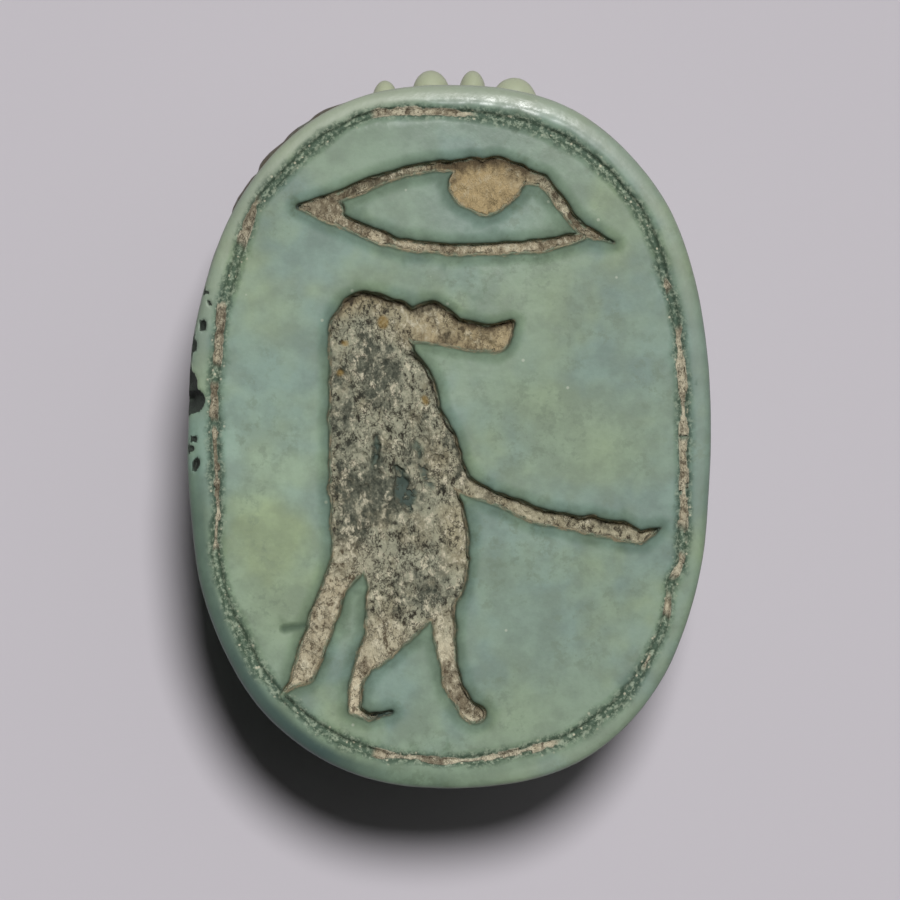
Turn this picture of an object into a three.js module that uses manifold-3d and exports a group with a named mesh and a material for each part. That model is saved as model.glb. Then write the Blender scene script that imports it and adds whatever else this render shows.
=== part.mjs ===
// Scarab amulet carved from one piece of glazed steatite. It lies on the back of the beetle, with the
// carved oval base up. Millimetres, +Z up, the beetle's head towards +Y. The origin lies on the resting
// plane, straight under the centre of the oval base.
import * as THREE from "three";
import { mergeVertices } from "three/addons/utils/BufferGeometryUtils.js";
import Module from "manifold-3d";

const wasm = await Module();
wasm.setup();

// The oval base plate.
const baseLength = 16.7;
const baseWidth = 12.3;
const plateThickness = 1.5;
const rimRounding = 0.24;
const headPower = 2.35; // superellipse power of the oval's head half
const tailPower = 2.48; // and of its tail half, which is fuller

// The beetle under the plate.
const amuletHeight = 7.4;
const backInset = 0.7; // of the back's sides, from the plate's edge
const backTailInset = 0.6;
const backHeadInset = 2.2; // leaves the head in front of the back
const shoulderDepth = 3.1; // from the base's face down to the widest line of the back
const backPower = 2.2; // superellipse power of the back's profile
const restSpotDepth = 0.07; // what is worn off the top of the back, the flat spot that it rests on
const coreInset = 0.9; // of the step of stone behind the legs, from the plate's edge
const coreThickness = 1.3;
const legRadius = 0.5;
const legInset = 0.68; // of the legs' middle line, from the plate's edge
const diggingToothRadius = 0.44;
const diggingToothInset = 0.36; // of its outer end, from the plate's edge
const diggingToothLean = 0.12; // how much deeper its inner end lies
const lineRadius = 0.13; // of the round-bottomed lines cut in the back
const collarY = 2.2; // where the line behind the thorax meets the sides
const collarBow = 0.7; // how far its middle bends towards the tail
const headWidth = 5.2;
const headLength = 3.12;
const skullDepth = 2.9; // from the base's face down to the middle of the head
const skullThickness = 2.6;
const eyeSize = new THREE.Vector3(0.9, 1.24, 1.0);
const headOverhang = 0.32; // of the head's teeth past the plate's edge
const shieldDepth = 2.0; // from the base's face down to the middle of the head's toothed shield
const shieldThickness = 1.3;
const shieldSetBack = 0.4; // of the shield's front edge, from the longest tooth
const toothRoot = 0.15; // how deep a tooth is set in the shield
const toothHalfHeight = 0.4;
// The head's four uneven teeth, as rows of [across as a share of the head's half width, how far
// short of the longest tooth, half width].
const teethRows = [
  [-0.59, 0.24, 0.33],
  [-0.165, 0, 0.42],
  [0.215, 0, 0.31],
  [0.6, 0.16, 0.6],
];

// The lengthwise hole for a thread or a ring wire.
const holeRadius = 0.65;
const holeDepth = 2.95; // from the base's face down to the hole's axis

// The design cut in the base.
const borderInset = 0.63; // from the plate's edge to the middle of the border line
const borderWidth = 0.28;
const borderDepth = 0.22;
const figureDepth = 0.42;
const eyeDepth = 0.36;
const nickDepth = 0.12;

const ovalSteps = 60;
const roundSteps = 12;
const arcSteps = 5; // in each end of a stroke
const lineSteps = 12; // along a line cut in the back
const baseHalf = new THREE.Vector2(baseWidth / 2, baseLength / 2);
const backHalf = baseHalf.clone().sub(
  new THREE.Vector2(backInset, (backTailInset + backHeadInset) / 2),
);
const backCentreY = (backTailInset - backHeadInset) / 2;
const shoulderZ = amuletHeight - shoulderDepth;
const backHeight = shoulderZ + restSpotDepth;
const plateFootZ = amuletHeight - plateThickness;
const cutClearance = 0.3; // how far a cutting tool reaches past the surface it enters
const mergeDistance = 1e-4;

// The design is drawn on a field of this half width and half length, and follows the real field.
const drawnHalf = new THREE.Vector2(5.52, 7.72);
const fieldHalf = baseHalf.clone().subScalar(borderInset);

// Strokes are rows of [across, along, half width] in millimetres from the base's centre.
const bodyStroke = [
  [-1.92, 2.45, 1.0],
  [-1.85, 1.58, 1.07],
  [-1.59, 0.87, 1.33],
  [-1.54, 0.27, 1.37],
  [-1.33, -0.6, 1.59],
  [-1.37, -1.32, 1.54],
  [-0.92, -2.45, 1.4],
  [-0.82, -3.28, 1.2],
];
const snoutStroke = [
  [-0.85, 2.52, 0.33],
  [0.21, 2.41, 0.37],
  [1.21, 2.36, 0.4],
  [1.4, 2.6, 0.21],
];
const browStroke = [
  [-1.3, 2.8, 0.47],
  [-0.95, 2.7, 0.36],
  [-0.43, 2.93, 0.33],
  [-0.05, 2.62, 0.3],
];
const armStroke = [
  [-0.2, -0.75, 0.5],
  [0.26, -1.13, 0.26],
  [0.97, -1.46, 0.2],
  [1.9, -1.84, 0.23],
  [2.99, -2.07, 0.24],
  [4.01, -2.24, 0.28],
  [4.48, -2.41, 0.17],
  [5.02, -2.16, 0.06],
];
const backLegStroke = [
  [-1.2, -3.95, 0.86],
  [-1.61, -4.82, 0.49],
  [-2.06, -5.42, 0.26],
  [-2.25, -5.89, 0.21],
  [-2.3, -6.5, 0.17],
  [-1.95, -6.68, 0.13],
  [-1.4, -6.55, 0.08],
];
const frontLegStroke = [
  [-0.55, -3.4, 0.9],
  [-0.19, -3.87, 0.38],
  [-0.17, -4.82, 0.27],
  [-0.07, -5.42, 0.25],
  [0.09, -6.01, 0.26],
  [0.4, -6.48, 0.26],
  [0.64, -6.6, 0.27],
];
const tailStroke = [
  [-2.3, -1.6, 0.58],
  [-2.38, -2.9, 0.5],
  [-2.72, -3.5, 0.34],
  [-3.22, -4.82, 0.34],
  [-3.48, -5.56, 0.33],
  [-3.75, -5.88, 0.15],
];
const upperLidStroke = [
  [-3.63, 5.44, 0.07],
  [-3.15, 5.51, 0.17],
  [-2.61, 5.68, 0.17],
  [-1.92, 5.98, 0.17],
  [-1.11, 6.27, 0.17],
  [-0.31, 6.39, 0.17],
  [0.71, 6.39, 0.21],
  [1.64, 6.2, 0.21],
  [2.18, 6.06, 0.19],
  [2.49, 5.7, 0.18],
  [2.77, 5.3, 0.17],
  [3.1, 4.87, 0.19],
  [3.86, 4.59, 0.06],
];
const lidCornerStroke = [
  [-3.15, 5.42, 0.21],
  [-2.78, 5.38, 0.3],
];
const lowerLidStroke = [
  [-3.63, 5.44, 0.07],
  [-2.99, 5.27, 0.21],
  [-1.87, 4.78, 0.19],
  [-1.21, 4.56, 0.18],
  [-0.02, 4.42, 0.18],
  [1.21, 4.44, 0.19],
  [2.23, 4.51, 0.19],
  [3.1, 4.74, 0.17],
];
const irisStroke = [
  [0.45, 5.98, 0.67],
  [1.0, 5.98, 0.69],
];
const nickStroke = [
  [-3.98, -4.54, 0.09],
  [-3.58, -4.54, 0.07],
];

// Chips broken from the plate's upper edge: [angle round the oval in degrees, length, depth in].
const edgeChips = [
  [151, 0.4, 0.18],
  [158, 0.5, 0.2],
  [165, 0.5, 0.14],
  [173, 1.15, 0.36],
  [181, 0.3, 0.14],
  [186, 0.4, 0.16],
];

// A point of the oval. Angle 0 is the +X side and 90 degrees is the head end.
function ovalPoint(half, angle) {
  const c = Math.cos(angle);
  const s = Math.sin(angle);
  const power = s >= 0 ? headPower : tailPower;
  return new THREE.Vector2(
    half.x * Math.sign(c) * Math.abs(c) ** (2 / power),
    half.y * Math.sign(s) * Math.abs(s) ** (2 / power),
  );
}

function ovalPoints(half) {
  return Array.from({ length: ovalSteps }, (_, i) =>
    ovalPoint(half, (i / ovalSteps) * 2 * Math.PI),
  );
}

// 0 at the centre of an oval and 1 on its edge.
function ovalShare(half, x, y) {
  const power = y >= 0 ? headPower : tailPower;
  return (Math.abs(x / half.x) ** power + Math.abs(y / half.y) ** power) ** (1 / power);
}

// Height of the beetle's back over the resting plane at a point of the plan.
function backZ(x, y) {
  const share = Math.min(ovalShare(backHalf, x, y - backCentreY), 0.98);
  return shoulderZ - backHeight * (1 - share ** backPower) ** (1 / backPower);
}

// A closed mesh as a solid that can be joined and cut.
function solid(geometry) {
  geometry.deleteAttribute("normal");
  geometry.deleteAttribute("uv");
  const merged = mergeVertices(geometry, mergeDistance);
  return new wasm.Manifold(
    new wasm.Mesh({
      numProp: 3,
      vertProperties: merged.attributes.position.array,
      triVerts: new Uint32Array(merged.index.array),
    }),
  );
}

function joined(solids) {
  return solids.reduce((all, one) => all.add(one));
}

// A flat outline raised between two heights.
function prism(outline, lowZ, highZ) {
  const geometry = new THREE.ExtrudeGeometry(outline, { depth: highZ - lowZ, bevelEnabled: false });
  return solid(geometry.translate(0, 0, lowZ));
}

function ball(x, y, z, radiusX, radiusY = radiusX, radiusZ = radiusX, steps = roundSteps) {
  const geometry = new THREE.SphereGeometry(1, steps, steps / 2);
  return solid(geometry.rotateX(Math.PI / 2).scale(radiusX, radiusY, radiusZ).translate(x, y, z));
}

// A closed skin over rings of points, each ring anticlockwise round the way from start to end.
function skin(start, rings, end) {
  const sides = rings[0].length;
  const faces = [];
  const last = 1 + (rings.length - 1) * sides;
  for (let i = 0; i < sides; i++) {
    const next = (i + 1) % sides;
    faces.push(0, 1 + next, 1 + i);
    for (let low = 1; low < last; low += sides) {
      const high = low + sides;
      faces.push(low + i, low + next, high + next, low + i, high + next, high + i);
    }
    faces.push(last + i, last + next, last + sides);
  }
  const geometry = new THREE.BufferGeometry().setFromPoints([start, ...rings.flat(), end]);
  geometry.setIndex(faces);
  return solid(geometry);
}

// A ring of points round a place on a curve.
function ringRound(centre, acrossWay, upWay, radius, sides) {
  return Array.from({ length: sides }, (_, i) => {
    const angle = (i / sides) * 2 * Math.PI;
    return centre
      .clone()
      .addScaledVector(acrossWay, radius * Math.cos(angle))
      .addScaledVector(upWay, radius * Math.sin(angle));
  });
}

// A round bar along a smooth curve through points. Its radius closes at both ends: fullness 2 makes
// a spindle, and higher values a blunter bar.
function bar(points, radius, fullness, steps, sides) {
  const curve = new THREE.CatmullRomCurve3(points);
  const { normals, binormals } = curve.computeFrenetFrames(steps);
  const rings = [];
  for (let i = 1; i < steps; i++) {
    const share = i / steps;
    const thick = radius * Math.sqrt(1 - Math.abs(2 * share - 1) ** fullness);
    rings.push(ringRound(curve.getPointAt(share), normals[i], binormals[i], thick, sides));
  }
  return skin(curve.getPointAt(0), rings, curve.getPointAt(1));
}

// The plate, with a rounded edge above and below.
function plate() {
  const geometry = new THREE.ExtrudeGeometry(new THREE.Shape(ovalPoints(baseHalf)), {
    depth: plateThickness - 2 * rimRounding,
    bevelThickness: rimRounding,
    bevelSize: rimRounding,
    bevelOffset: -rimRounding,
    bevelSegments: 3,
  });
  return solid(geometry.translate(0, 0, plateFootZ + rimRounding));
}

// The wing cases and the thorax: rings of the oval that widen from the top of the back and then run
// straight up into the plate.
function back() {
  const steps = 11;
  const ringAt = (share, z) =>
    ovalPoints(backHalf.clone().multiplyScalar(share)).map(
      (p) => new THREE.Vector3(p.x, p.y + backCentreY, z),
    );
  const rings = Array.from({ length: steps }, (_, i) => {
    const angle = (((i + 1) / steps) * Math.PI) / 2;
    const z = shoulderZ - backHeight * Math.cos(angle) ** (2 / backPower);
    return ringAt(Math.sin(angle) ** (2 / backPower), z);
  });
  const footZ = plateFootZ + cutClearance;
  const top = new THREE.Vector3(0, backCentreY, shoulderZ - backHeight);
  return skin(top, [...rings, ringAt(1, footZ)], new THREE.Vector3(0, backCentreY, footZ));
}

// The step of stone between the plate and the legs.
function core() {
  const half = baseHalf.clone().subScalar(coreInset);
  return prism(new THREE.Shape(ovalPoints(half)), plateFootZ - coreThickness, plateFootZ + cutClearance);
}

// A point on the side of the beetle, from an angle round the oval in degrees and the share of the way
// from the plate's foot down to the shoulder line. Side is 1 for +X and -1 for -X.
function sidePoint(inset, degrees, share, side) {
  const p = ovalPoint(baseHalf.clone().subScalar(inset), THREE.MathUtils.degToRad(degrees));
  return new THREE.Vector3(side * p.x, p.y, THREE.MathUtils.lerp(plateFootZ, shoulderZ, share));
}

// Three legs on each side, as rows of [angle, share down]. The front leg ends in a row of digging
// teeth beside the head.
function legs() {
  const limbs = [
    [[6, 1.05], [22, 0.7], [42, 0.35], [74, 0.3]],
    [[10, 1.0], [-6, 0.85], [-20, 0.5], [-30, 0.2]],
    [[-10, 1.1], [-30, 0.9], [-52, 0.55], [-72, 0.3]],
  ];
  const diggingAngles = [41, 52, 60, 67];
  const parts = [];
  for (const side of [-1, 1]) {
    for (const rows of limbs) {
      const points = rows.map(([degrees, share]) => sidePoint(legInset, degrees, share, side));
      parts.push(bar(points, legRadius, 6, 10, 8));
    }
    for (const degrees of diggingAngles) {
      const inner = sidePoint(diggingToothInset + diggingToothLean, degrees + 6, 0.3, side);
      const outer = sidePoint(diggingToothInset, degrees - 5, 0.3, side);
      parts.push(bar([inner, outer], diggingToothRadius, 4, 6, 8));
    }
  }
  return joined(parts);
}

// The head, with its shield of blunt teeth that reaches past the plate's edge, and its two eyes.
function head() {
  const halfWidth = headWidth / 2;
  const halfLength = headLength / 2;
  const reachY = baseHalf.y + headOverhang;
  const centreY = reachY - shieldSetBack - halfLength;
  const skullZ = amuletHeight - skullDepth;
  const shieldZ = amuletHeight - shieldDepth;
  const skull = ball(0, centreY - 0.4, skullZ, halfWidth * 0.92, halfLength + 0.45, skullThickness / 2);
  const shield = ball(0, centreY, shieldZ, halfWidth, halfLength, shieldThickness / 2);
  const teeth = teethRows.map(([across, short, toothHalfWidth]) => {
    const rootY = centreY + halfLength * Math.sqrt(1 - across * across) - toothRoot;
    const x = across * halfWidth;
    return ball(x, rootY, shieldZ, toothHalfWidth, reachY - short - rootY, toothHalfHeight);
  });
  const [eyeX, eyeY, eyeZ] = eyeSize.clone().divideScalar(2).toArray();
  const eyes = [-1, 1].map((side) =>
    ball(side * halfWidth * 0.8, centreY - 0.2, skullZ - 0.25, eyeX, eyeY, eyeZ),
  );
  return joined([skull, shield, ...teeth, ...eyes]);
}

// Lines cut in the back: the collar behind the thorax, the seam between the wing cases, and a short
// notch at each shoulder.
function backLines() {
  const collar = Array.from({ length: lineSteps + 1 }, (_, i) => {
    const share = (2 * i) / lineSteps - 1;
    const x = share * backHalf.x;
    const y = collarY - collarBow * (1 - share * share);
    return new THREE.Vector3(x, y, backZ(x, y));
  });
  const seam = Array.from({ length: lineSteps + 1 }, (_, i) => {
    const tailY = backCentreY - backHalf.y;
    const y = THREE.MathUtils.lerp(collarY - collarBow, tailY, i / lineSteps);
    return new THREE.Vector3(0, y, backZ(0, y));
  });
  const notches = [-1, 1].map((side) =>
    [[0.93, 0.35], [0.84, 0.8], [0.72, 1.15]].map(([share, behind]) => {
      const x = side * backHalf.x * share;
      const y = collarY - behind;
      return new THREE.Vector3(x, y, backZ(x, y));
    }),
  );
  return joined([
    bar(collar, lineRadius, 12, lineSteps, 6),
    bar(seam, lineRadius, 12, lineSteps, 6),
    ...notches.map((points) => bar(points, lineRadius, 4, 4, 5)),
  ]);
}

// A stroke as a flat-bottomed cut: the outline round each pair of circles, sunk into the base's face.
function strokeCut(rows, depth) {
  const circles = rows.map(([x, y, radius]) => ({
    centre: new THREE.Vector2(x, y).multiply(fieldHalf).divide(drawnHalf),
    radius,
  }));
  const pieces = circles.slice(1).map((end, i) => {
    const start = circles[i];
    const along = end.centre.clone().sub(start.centre);
    const turn = Math.acos(THREE.MathUtils.clamp((start.radius - end.radius) / along.length(), -1, 1));
    const heading = along.angle();
    const arc = (circle, from, to) =>
      Array.from({ length: arcSteps + 1 }, (_, k) => {
        const angle = THREE.MathUtils.lerp(from, to, k / arcSteps);
        return new THREE.Vector2(circle.radius, 0)
          .rotateAround(new THREE.Vector2(), angle)
          .add(circle.centre);
      });
    return prism(
      new THREE.Shape([
        ...arc(end, heading - turn, heading + turn),
        ...arc(start, heading + turn, heading + 2 * Math.PI - turn),
      ]),
      amuletHeight - depth,
      amuletHeight + cutClearance,
    );
  });
  return joined(pieces);
}

function design() {
  const figure = [
    bodyStroke, snoutStroke, browStroke, armStroke, backLegStroke, frontLegStroke, tailStroke,
  ];
  const eye = [upperLidStroke, lidCornerStroke, lowerLidStroke, irisStroke];
  return joined([
    ...figure.map((stroke) => strokeCut(stroke, figureDepth)),
    ...eye.map((stroke) => strokeCut(stroke, eyeDepth)),
    strokeCut(nickStroke, nickDepth),
  ]);
}

// The border line runs round the field.
function border() {
  const outline = new THREE.Shape(ovalPoints(fieldHalf.clone().addScalar(borderWidth / 2)));
  outline.holes.push(new THREE.Shape(ovalPoints(fieldHalf.clone().subScalar(borderWidth / 2)).reverse()));
  return prism(outline, amuletHeight - borderDepth, amuletHeight + cutClearance);
}

function threadHole() {
  const geometry = new THREE.CylinderGeometry(holeRadius, holeRadius, 2 * baseLength, 2 * roundSteps);
  return solid(geometry.translate(0, 0, amuletHeight - holeDepth));
}

function chips() {
  return joined(
    edgeChips.map(([degrees, length, depth]) => {
      const p = ovalPoint(baseHalf, THREE.MathUtils.degToRad(degrees));
      const z = amuletHeight - plateThickness / 4;
      return ball(p.x, p.y, z, depth, length / 2, plateThickness / 2, 8);
    }),
  );
}

// Everything under the resting plane, which leaves the flat spot on the back.
function groundBlock() {
  const geometry = new THREE.BoxGeometry(2 * baseWidth, 2 * baseLength, amuletHeight);
  return solid(geometry.translate(0, 0, -amuletHeight / 2));
}

function scarab() {
  const cut = joined([backLines(), design(), border(), threadHole(), chips(), groundBlock()]);
  const body = joined([plate(), core(), back(), legs(), head()]).subtract(cut);
  const { vertProperties, triVerts } = body.getMesh();
  const geometry = new THREE.BufferGeometry();
  geometry.setAttribute("position", new THREE.BufferAttribute(vertProperties, 3));
  geometry.setIndex(new THREE.BufferAttribute(triVerts, 1));
  geometry.computeVertexNormals();
  const glaze = new THREE.MeshStandardMaterial({ color: 0x87a08f, roughness: 0.4, metalness: 0 });
  const mesh = new THREE.Mesh(geometry, glaze);
  mesh.name = "scarab";
  return mesh;
}

const amulet = new THREE.Group();
amulet.add(scarab());

export default amulet;
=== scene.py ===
# The scarab amulet's looks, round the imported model. The one stone is made as a distance field on a fine
# grid, turned into a mesh, and given its glaze, the earth left in its cuts, and its chips.
# Lengths are in millimetres until the mesh is made, and in metres after that.
import math

import bpy
import numpy as np
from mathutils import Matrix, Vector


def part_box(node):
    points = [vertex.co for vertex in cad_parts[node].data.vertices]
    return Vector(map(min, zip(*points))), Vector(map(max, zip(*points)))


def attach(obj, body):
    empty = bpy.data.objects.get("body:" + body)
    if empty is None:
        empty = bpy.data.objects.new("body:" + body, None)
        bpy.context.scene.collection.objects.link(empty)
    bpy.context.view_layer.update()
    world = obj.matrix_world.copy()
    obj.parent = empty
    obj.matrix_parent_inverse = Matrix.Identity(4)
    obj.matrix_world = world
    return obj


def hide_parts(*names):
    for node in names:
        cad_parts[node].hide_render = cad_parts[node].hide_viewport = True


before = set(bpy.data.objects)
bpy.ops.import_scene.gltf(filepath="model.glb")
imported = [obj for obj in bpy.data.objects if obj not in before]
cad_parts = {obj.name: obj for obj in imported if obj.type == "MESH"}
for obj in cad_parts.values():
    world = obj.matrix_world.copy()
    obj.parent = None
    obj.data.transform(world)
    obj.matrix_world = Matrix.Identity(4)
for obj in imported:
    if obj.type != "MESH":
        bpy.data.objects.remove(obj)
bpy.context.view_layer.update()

import openvdb
from mathutils import Matrix, Vector

MM = 0.001
node_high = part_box("scarab")[1]

# The stone's sizes, from the frame where it has them.
HEIGHT = node_high.z / MM
BASE_HALF = (6.17, 8.37)
HEAD_REACH = 8.7
HEAD_POWER = 2.35  # superellipse power of the oval's head half
TAIL_POWER = 2.48
PLATE_THICKNESS = 1.5
RIM_ROUNDING = 0.15

# How far the rim slopes down from the border line to the plate's edge: (degrees from its right
# side, amount).
RIM_FALLS = [
    (0, 0.06), (50, 0.11), (90, 0.13), (130, 0.12), (180, 0.12), (212, 0.18), (238, 0.24),
    (262, 0.1), (285, 0.04), (330, 0.06),
]

# How pale the rim is, or below 0 how dark: (degrees from its right side, amount). The pale head end is worn
# glaze with painted highlight, and the dark lower left is painted shade.
RIM_TONE_AND_PAINTED_LIGHT = [
    (0, 0.15), (25, 0.2), (45, 0.3), (75, 0.7), (105, 0.85), (140, 0.5), (165, 0.25),
    (185, -0.1), (197, -0.45), (213, -0.5), (248, -0.8), (262, -0.1), (285, 0.25), (330, 0.1),
]
BACK_INSET = 0.7
BACK_TAIL_INSET = 0.6
BACK_HEAD_INSET = 2.2
SHOULDER_DEPTH = 3.1
BACK_POWER = 2.2
REST_SPOT_DEPTH = 0.07
CORE_INSET = 0.9
CORE_THICKNESS = 1.3
CORE_ROUNDING = 0.1
LEG_RADIUS = 0.5
LEG_INSET = 0.68

# The legs' middle lines on one side: (degrees from the right side, share of the way down).
LEGS = [
    [(6, 1.05), (22, 0.7), (42, 0.35), (74, 0.3)],
    [(10, 1.0), (-6, 0.85), (-20, 0.5), (-30, 0.2)],
    [(-10, 1.1), (-30, 0.9), (-52, 0.55), (-72, 0.3)],
]
DIGGING_TEETH = (41, 52, 60, 67)  # degrees from the right side
DIGGING_TOOTH_RADIUS = 0.44
DIGGING_TOOTH_INSET = 0.3
DIGGING_TOOTH_LEAN = 0.12
NOTCH_RADIUS = 0.05
NOTCH_REACH = 0.6  # as a share of the leg's radius

LINE_RADIUS = 0.13
COLLAR_Y = 2.2
COLLAR_BOW = 0.7

# The short notch at each shoulder: (share of the back's half width, how far behind the collar).
SHOULDER_NOTCH = [(0.93, 0.35), (0.84, 0.8), (0.72, 1.15)]
HEAD_WIDTH = 5.2
HEAD_LENGTH = 3.12
SKULL_DEPTH = 2.9
SKULL_THICKNESS = 2.6
EYE_SIZE = (0.9, 1.24, 1.0)
SHIELD_DEPTH = 2.0
SHIELD_THICKNESS = 1.3
SHIELD_SET_BACK = 0.4
TOOTH_ROOT = 0.15
TOOTH_HALF_HEIGHT = 0.4

# The head's teeth: (across as a share of the head's half width, short of the longest, half width).
TEETH = [(-0.59, 0.24, 0.35), (-0.165, 0, 0.45), (0.215, 0, 0.34), (0.6, 0.16, 0.6)]

HOLE_RADIUS = 0.65
HOLE_DEPTH = 2.95
HOLE_ROUNDING = 0.12
BORDER_INSET = 0.63
BORDER_WIDTH = 0.22
BORDER_DEPTH = 0.12
BORDER_SHIFT = 0.035  # how far the line lies inside of its points
WALL_SLOPE = 0.24  # how far the walls of the figure's cuts lean in, to their depth
FIGURE_DEPTH = 0.62
EYE_DEPTH = 0.46
NICK_DEPTH = 0.05
CUT_WOBBLE = 0.036  # how far the cuts' edges stray
CUT_WOBBLE_CELL = 0.42

SHOULDER_Z = HEIGHT - SHOULDER_DEPTH
PLATE_FOOT_Z = HEIGHT - PLATE_THICKNESS
BACK_HALF = (BASE_HALF[0] - BACK_INSET, BASE_HALF[1] - (BACK_TAIL_INSET + BACK_HEAD_INSET) / 2)
BACK_CENTRE_Y = (BACK_TAIL_INSET - BACK_HEAD_INSET) / 2
BACK_HEIGHT = SHOULDER_Z + REST_SPOT_DEPTH
HEAD_CENTRE_Y = HEAD_REACH - SHIELD_SET_BACK - HEAD_LENGTH / 2

# Strokes of the design: name, how tan the earth in it is, how golden it is, and rows of (across,
# along, half width) from the base's centre. Earth that is neither tan nor golden is grey.
FIGURE_STROKES = {
    "body": (0.1, 0.16, [
        (-1.92, 2.45, 1.0), (-1.85, 1.58, 1.07), (-1.59, 0.87, 1.33), (-1.54, 0.27, 1.37),
        (-1.33, -0.6, 1.59), (-1.37, -1.32, 1.54), (-0.92, -2.45, 1.4), (-0.82, -3.28, 1.2),
    ]),
    "crown": (0.0, 1.0, [(-2.6, 3.0, 0.12), (-1.95, 3.3, 0.13), (-1.2, 3.12, 0.12)]),
    "belly": (0.3, 0.6, [(0.05, -1.9, 0.25), (0.2, -2.9, 0.25)]),
    "snout": (0.42, 0.75, [(-0.85, 2.52, 0.33), (0.21, 2.41, 0.37), (1.08, 2.32, 0.38), (1.4, 2.64, 0.14)]),
    "brow": (0.3, 0.45, [(-1.3, 2.8, 0.47), (-0.95, 2.7, 0.36), (-0.43, 2.93, 0.33), (-0.05, 2.62, 0.3)]),
    "arm": (0.3, 0.3, [
        (-0.2, -0.75, 0.5), (0.26, -1.13, 0.26), (0.97, -1.46, 0.2), (1.9, -1.84, 0.23),
        (2.99, -2.07, 0.24), (4.01, -2.24, 0.28), (4.48, -2.41, 0.17), (5.02, -2.16, 0.06),
    ]),
    "back_thigh": (0.2, 0.2, [(-1.2, -3.95, 0.86), (-1.61, -4.82, 0.49)]),
    "back_shin": (0.85, 0.15, [
        (-1.61, -4.82, 0.49), (-2.06, -5.42, 0.26), (-2.25, -5.89, 0.21), (-2.3, -6.5, 0.17),
        (-1.95, -6.68, 0.13), (-1.4, -6.55, 0.08),
    ]),
    "front_thigh": (0.15, 0.1, [(-0.55, -3.4, 0.9), (-0.19, -3.87, 0.38), (-0.17, -4.5, 0.3)]),
    "front_shin": (0.75, 0.1, [
        (-0.17, -4.4, 0.3), (-0.17, -4.82, 0.27), (-0.07, -5.42, 0.25), (0.09, -6.01, 0.26),
        (0.4, -6.48, 0.26), (0.64, -6.6, 0.27),
    ]),
    "tail_root": (0.15, 0.15, [(-2.3, -1.6, 0.58), (-2.38, -2.9, 0.5)]),
    "tail": (0.72, 0.15, [
        (-2.38, -2.9, 0.5), (-2.72, -3.5, 0.34), (-3.22, -4.82, 0.34), (-3.48, -5.56, 0.33),
        (-3.75, -5.88, 0.15), (-4.02, -6.13, 0.06),
    ]),
}
EYE_STROKES = {
    "upper_lid": (0.36, 0.25, [
        (-3.63, 5.44, 0.07), (-3.15, 5.51, 0.165), (-2.61, 5.68, 0.165), (-1.92, 5.98, 0.165),
        (-1.11, 6.27, 0.165), (-0.31, 6.39, 0.165),
    ]),
    "lid_over_iris": (0.2, 1.0, [(-0.31, 6.39, 0.165), (0.71, 6.39, 0.205), (1.64, 6.2, 0.205)]),
    "lid_end": (0.4, 0.25, [
        (1.64, 6.2, 0.205), (2.18, 6.06, 0.185), (2.49, 5.7, 0.175), (2.77, 5.3, 0.165),
        (3.1, 4.87, 0.185), (3.86, 4.59, 0.06),
    ]),
    "lid_corner": (0.95, 0.15, [(-3.15, 5.42, 0.205), (-2.78, 5.38, 0.295)]),
    "lower_lid": (0.85, 0.2, [
        (-3.63, 5.44, 0.07), (-2.99, 5.27, 0.205), (-1.87, 4.78, 0.185), (-1.21, 4.56, 0.175),
        (-0.02, 4.42, 0.175), (1.21, 4.44, 0.185), (2.23, 4.51, 0.185), (3.1, 4.74, 0.165),
    ]),
    "iris": (1.0, 1.0, [(0.6, 5.97, 0.66), (0.85, 5.86, 0.66), (1.02, 6.0, 0.66), (1.6, 6.2, 0.28)]),
}
NICK = [(-3.95, -4.56, 0.07), (-3.4, -4.5, 0.05)]

# Places that the border line passes through, from its right side anticlockwise: (across, along).
BORDER_POINTS = [
    (5.55, 0.2), (5.49, 1.77), (5.33, 3.05), (5.11, 3.79), (4.64, 5.13), (3.93, 6.08), (3.37, 6.59),
    (2.74, 7.03), (2.11, 7.34), (1.16, 7.57), (0.21, 7.7), (-0.74, 7.74), (-1.68, 7.7), (-2.24, 7.55),
    (-2.8, 7.22), (-3.42, 6.79), (-4.05, 6.15), (-4.65, 5.53), (-4.84, 5.06), (-5.0, 4.49),
    (-5.24, 3.71), (-5.47, 2.93), (-5.55, 1.98), (-5.65, 0.39), (-5.6, -0.7), (-5.56, -1.79),
    (-5.61, -2.75), (-5.52, -3.28), (-5.33, -4.02), (-5.02, -4.67), (-4.59, -5.54), (-4.14, -6.07),
    (-3.56, -6.58), (-3.01, -7.01), (-2.35, -7.36), (-1.6, -7.59), (-0.77, -7.68), (-0.04, -7.75),
    (0.69, -7.7), (1.42, -7.58), (2.05, -7.4), (2.62, -7.27), (3.37, -6.84), (4.05, -6.28),
    (4.47, -5.73), (4.93, -4.9), (5.13, -4.35), (5.24, -3.57), (5.47, -3.05), (5.56, -2.0),
    (5.57, -1.09),
]

# The stretch of the rim that has kept its shine, in degrees from its right side.
GLOSS_MIDDLE = 80
GLOSS_SPREAD = 17

# Where the plate's edge strays from the plain oval: (degrees from its right side, spread, amount out).
EDGE_BUMPS = [
    (90, 14, -0.05),
    (44, 12, 0.08), (160, 14, 0.07), (188, 12, 0.07), (211, 10, 0.06), (247, 12, -0.06),
]

# Stretches of the border line that hold earth: (from, to) in degrees from its right side.
BORDER_EARTH = [
    (0, 26), (34, 37), (86, 104), (128, 138), (149, 163), (168, 176), (178, 205), (256, 290),
    (309, 312), (320, 324), (327, 333), (338, 360),
]

BORDER_TAN = 0.75  # how tan the earth in the border line is

# Where the beetle's front legs, seen past the rim, are browner just under the plate's edge: (from, to) in
# degrees.
BROWNED_LEG_STRETCHES = [(35, 50), (104, 134)]

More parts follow.
